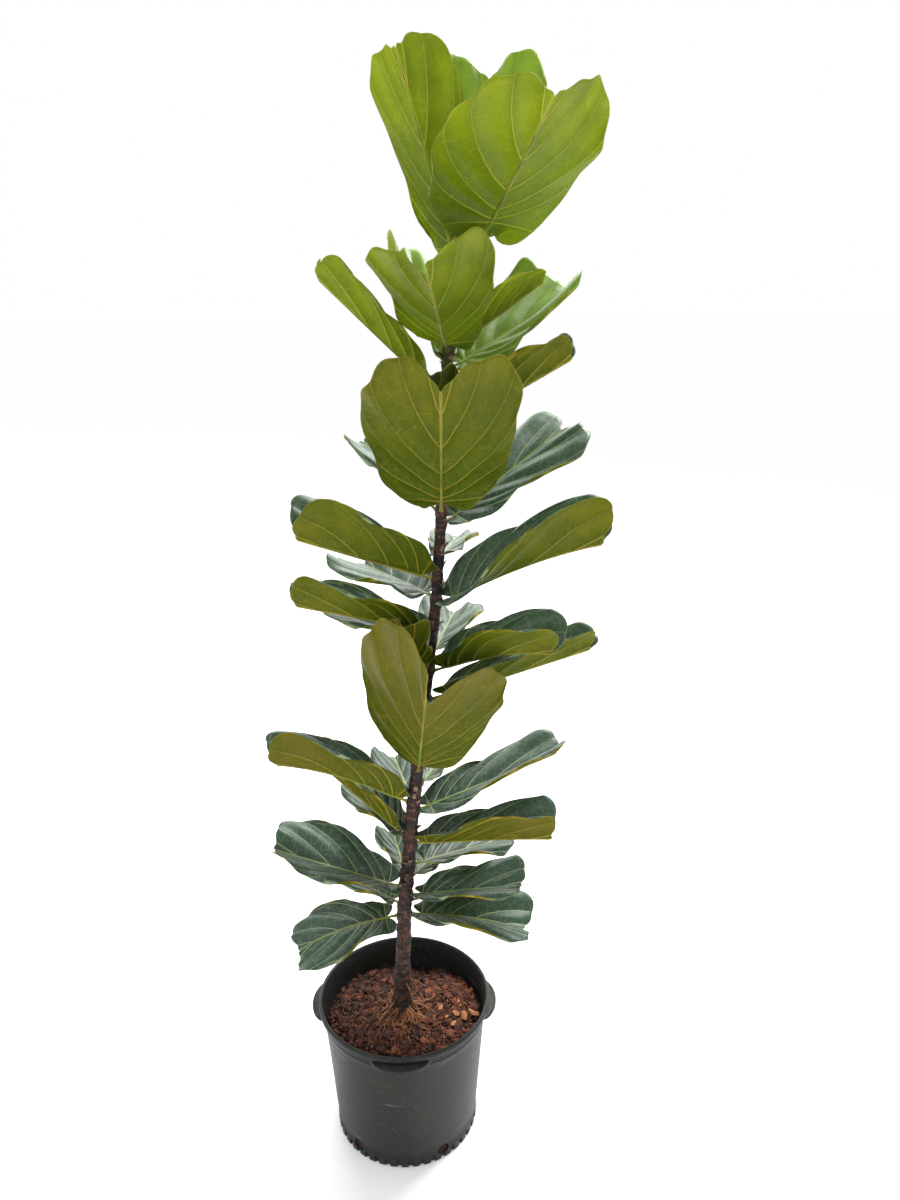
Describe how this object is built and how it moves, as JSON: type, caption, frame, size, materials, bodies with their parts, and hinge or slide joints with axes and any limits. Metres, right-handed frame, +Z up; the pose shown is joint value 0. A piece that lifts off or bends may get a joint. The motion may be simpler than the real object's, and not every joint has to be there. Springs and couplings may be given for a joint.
{
  "type": "potted fiddle leaf fig",
  "caption": "Fiddle leaf fig: a slender leaning stem with large upturned fiddle-shaped leaves, standing in a round plastic nursery pot filled with bark soil.",
  "frame": {"origin": "centre of the pot's flat underside", "axes": "+Z up along the stem, -Y the side seen first, +X the side the stem leans to"},
  "size_m": [0.4775, 0.3886, 1.5615],
  "materials": {
    "pot": "blow-moulded dark grey polyethylene with a low sheen and light scuffs",
    "soil": "damp coconut coir and bark chips, matt",
    "bark": "thin reddish brown bark with ring scars, matt",
    "bud": "dry brown sheath, matt",
    "leaf": "leathery leaf, waxy dark green above, duller olive green with raised pale veins below"
  },
  "bodies": {
    "root": {"pot": "pot", "soil": "soil", "stem": "bark", "tip_bud": "bud", "leaf_01": "leaf", "leaf_02": "leaf", "leaf_03": "leaf", "leaf_04": "leaf", "leaf_05": "leaf", "leaf_06": "leaf", "leaf_07": "leaf", "leaf_08": "leaf", "leaf_09": "leaf", "leaf_10": "leaf", "leaf_11": "leaf", "leaf_12": "leaf", "leaf_13": "leaf", "leaf_14": "leaf", "leaf_15": "leaf", "leaf_16": "leaf", "leaf_17": "leaf", "leaf_18": "leaf", "leaf_19": "leaf", "leaf_20": "leaf", "leaf_21": "leaf", "leaf_22": "leaf", "leaf_23": "leaf", "leaf_24": "leaf", "leaf_25": "leaf", "leaf_26": "leaf", "leaf_27": "leaf", "leaf_28": "leaf", "leaf_29": "leaf", "leaf_30": "leaf", "leaf_31": "leaf", "leaf_32": "leaf", "leaf_33": "leaf", "leaf_34": "leaf", "leaf_35": "leaf", "leaf_36": "leaf", "leaf_37": "leaf", "leaf_38": "leaf", "leaf_39": "leaf"}
  },
  "joints": []
}
